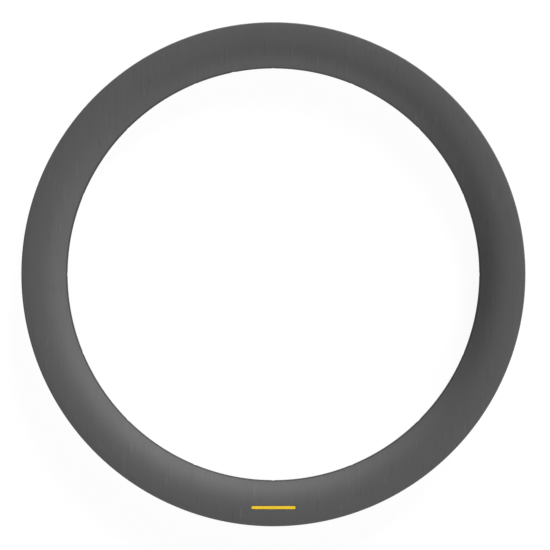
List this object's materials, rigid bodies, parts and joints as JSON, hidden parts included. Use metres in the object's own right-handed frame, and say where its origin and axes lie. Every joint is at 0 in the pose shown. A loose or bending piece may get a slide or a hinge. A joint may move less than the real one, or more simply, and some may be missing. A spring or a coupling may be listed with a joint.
{
  "type": "bicycle rim",
  "caption": "Deep carbon clincher rim: a hollow ring with a hookless tyre channel outside, curved sides and spoke holes in its narrow inner nose.",
  "frame": {"origin": "centre of the rim, on the axle line and the middle plane", "axes": "+Z along the axle line, +X through a spoke hole; the rim lies flat"},
  "size_m": [0.6329, 0.633, 0.028],
  "materials": {
    "carbon": "matte unidirectional carbon fibre"
  },
  "bodies": {
    "root": {"rim": "carbon"}
  },
  "joints": []
}
